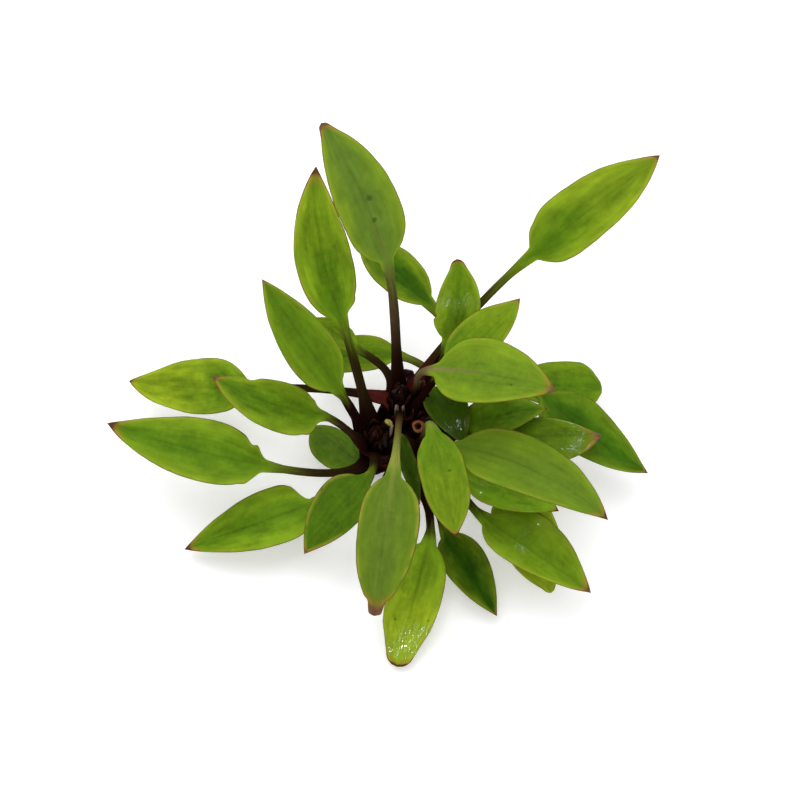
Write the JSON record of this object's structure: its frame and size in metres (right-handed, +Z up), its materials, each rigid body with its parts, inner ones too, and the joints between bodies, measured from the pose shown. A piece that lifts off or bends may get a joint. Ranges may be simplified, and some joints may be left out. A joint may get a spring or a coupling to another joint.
{
  "type": "dwarf cryptocoryne lutea plant",
  "caption": "Small rosette plant for aquariums: lance-shaped green leaves on slender maroon petioles that spread from a squat dark rootstock with trimmed roots.",
  "frame": {"origin": "on the rootstock's flat foot, below the middle shoot", "axes": "+Z up, -Y towards the side that the picture was taken from, +X to that view's right"},
  "size_m": [0.1374, 0.1168, 0.078],
  "materials": {
    "leaf": "living leaf: soft satin green with a darker middle band, thin reddish-brown edges and tips, and a petiole that turns maroon towards the crown",
    "rootstock": "dark maroon-brown rootstock with old leaf sheaths, scars and pale cut stubs"
  },
  "bodies": {
    "root": {"rootstock": "rootstock", "leaf_tall_back": "leaf", "leaf_tall_left": "leaf", "leaf_upper_left": "leaf", "leaf_back_hidden": "leaf", "leaf_back_small": "leaf", "leaf_back_pointed": "leaf", "leaf_centre_right": "leaf", "leaf_far_right_up": "leaf", "leaf_far_left_back": "leaf", "leaf_left_middle": "leaf", "leaf_far_left": "leaf", "leaf_low_left": "leaf", "leaf_low_left_inner": "leaf", "leaf_left_under": "leaf", "leaf_front": "leaf", "leaf_front_low": "leaf", "leaf_front_dark": "leaf", "leaf_front_light": "leaf", "leaf_right_large": "leaf", "leaf_right_under": "leaf", "leaf_low_right": "leaf", "leaf_low_right_under": "leaf", "leaf_far_right": "leaf", "leaf_right_back": "leaf", "leaf_right_middle": "leaf", "leaf_right_dark": "leaf", "leaf_centre_dark": "leaf", "leaf_centre_narrow": "leaf", "leaf_back_left": "leaf", "leaf_back_shaded": "leaf"}
  },
  "joints": []
}
